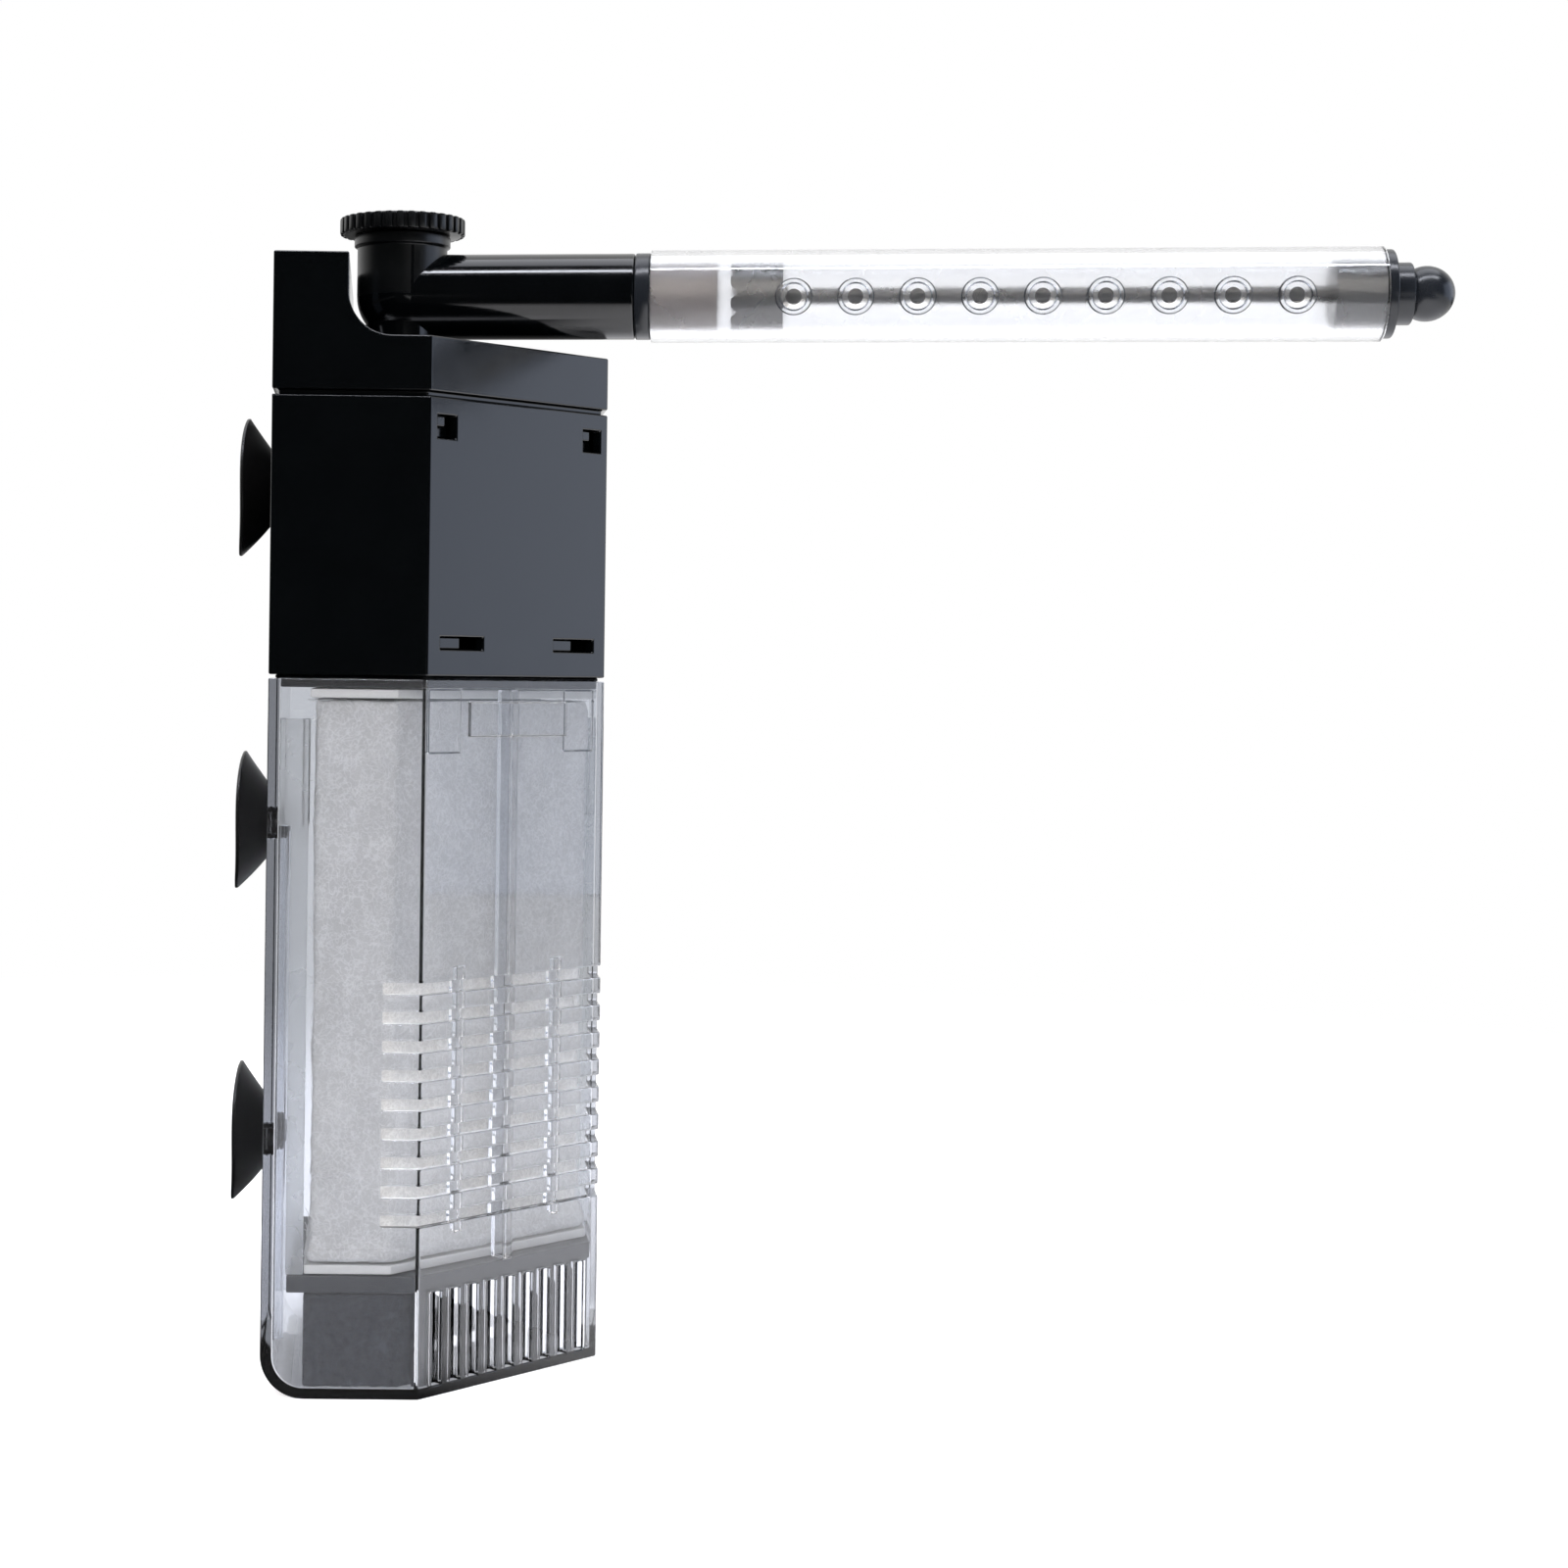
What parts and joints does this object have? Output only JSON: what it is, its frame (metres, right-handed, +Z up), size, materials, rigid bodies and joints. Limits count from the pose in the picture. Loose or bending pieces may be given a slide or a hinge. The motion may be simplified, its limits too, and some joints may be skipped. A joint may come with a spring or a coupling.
{
  "type": "internal corner aquarium filter",
  "caption": "Internal corner aquarium filter: smoky clear canister with floss cartridge and foam, black lift-off pump head, swivel outlet with flow knob, and clear jet bar with pull slider.",
  "frame": {"origin": "middle of the square footprint before its front corner is cut, on the canister's bottom face", "axes": "+Z up; the tank corner is at -X and +Y, the cut front corner faces +X and -Y, and the jet bar leads towards +X"},
  "size_m": [0.2256, 0.0735, 0.2205],
  "materials": {
    "smoky_clear": "smoky clear moulded plastic",
    "slate_plastic": "dark grey moulded plastic",
    "dark_foam": "coarse open-cell foam",
    "white_plastic": "white moulded plastic",
    "white_floss": "white fibre floss",
    "milky_clear": "milky clear plastic",
    "black_rubber": "soft black rubber",
    "black_plastic": "glossy black moulded plastic",
    "stator_steel": "stacked steel plates",
    "copper_winding": "enamelled copper wire",
    "ceramic": "white ceramic",
    "ferrite": "sintered ferrite",
    "frosted_clear": "frosted clear plastic"
  },
  "bodies": {
    "canister": {"canister_shell": "smoky_clear", "intake_tray": "slate_plastic", "foam_block": "dark_foam", "cartridge_foot": "white_plastic", "cartridge_core": "white_plastic", "cartridge_top": "white_plastic", "cartridge_floss": "white_floss", "clip_left": "milky_clear", "clip_right": "milky_clear", "cup_left_low": "black_rubber", "cup_left_mid": "black_rubber", "cup_rear_low": "black_rubber", "cup_rear_mid": "black_rubber"},
    "pump_head": {"pump_base": "black_plastic", "pump_housing": "black_plastic", "pump_cap": "black_plastic", "cable_gland": "black_rubber", "volute": "slate_plastic", "rotor_well": "slate_plastic", "riser_pipe": "slate_plastic", "stator_stack": "stator_steel", "stator_winding": "copper_winding", "shaft": "ceramic", "bush_low": "black_rubber", "bush_high": "black_rubber", "cup_left_top": "black_rubber", "cup_rear_top": "black_rubber"},
    "rotor": {"rotor_magnet": "ferrite", "impeller": "white_plastic"},
    "outlet": {"outlet_elbow": "black_plastic", "outlet_seal": "black_rubber", "jet_coupling": "slate_plastic"},
    "knob": {"flow_knob": "black_plastic", "valve_drum": "slate_plastic"},
    "jet_bar": {"jet_tube": "frosted_clear", "end_plug": "slate_plastic"},
    "slider": {"slider_rod": "slate_plastic", "slider_crown": "slate_plastic", "slider_ball": "slate_plastic"}
  },
  "joints": [
    {"name": "pump_lift", "type": "slide", "parent": "canister", "child": "pump_head", "axis": [0, 0, 1], "range_m": [0, 0.03]},
    {"name": "rotor_spin", "type": "hinge", "parent": "pump_head", "child": "rotor", "pos_m": [0.0102, 0.0082, 0.15], "axis": [0, 0, 1], "continuous": true},
    {"name": "outlet_swivel", "type": "hinge", "parent": "pump_head", "child": "outlet", "pos_m": [-0.0084, 0, 0.2054], "axis": [0, 0, 1], "range_deg": [-82, 98]},
    {"name": "knob_turn", "type": "hinge", "parent": "outlet", "child": "knob", "pos_m": [-0.0084, 0, 0.2185], "axis": [0, 0, 1], "range_deg": [0, 90]},
    {"name": "jet_bar_roll", "type": "hinge", "parent": "outlet", "child": "jet_bar", "pos_m": [-0.0084, 0, 0.2054], "axis": [0.9903, -0.1392, 0], "continuous": true},
    {"name": "slider_pull", "type": "slide", "parent": "jet_bar", "child": "slider", "axis": [0.9903, -0.1392, 0], "range_m": [0, 0.1]}
  ]
}
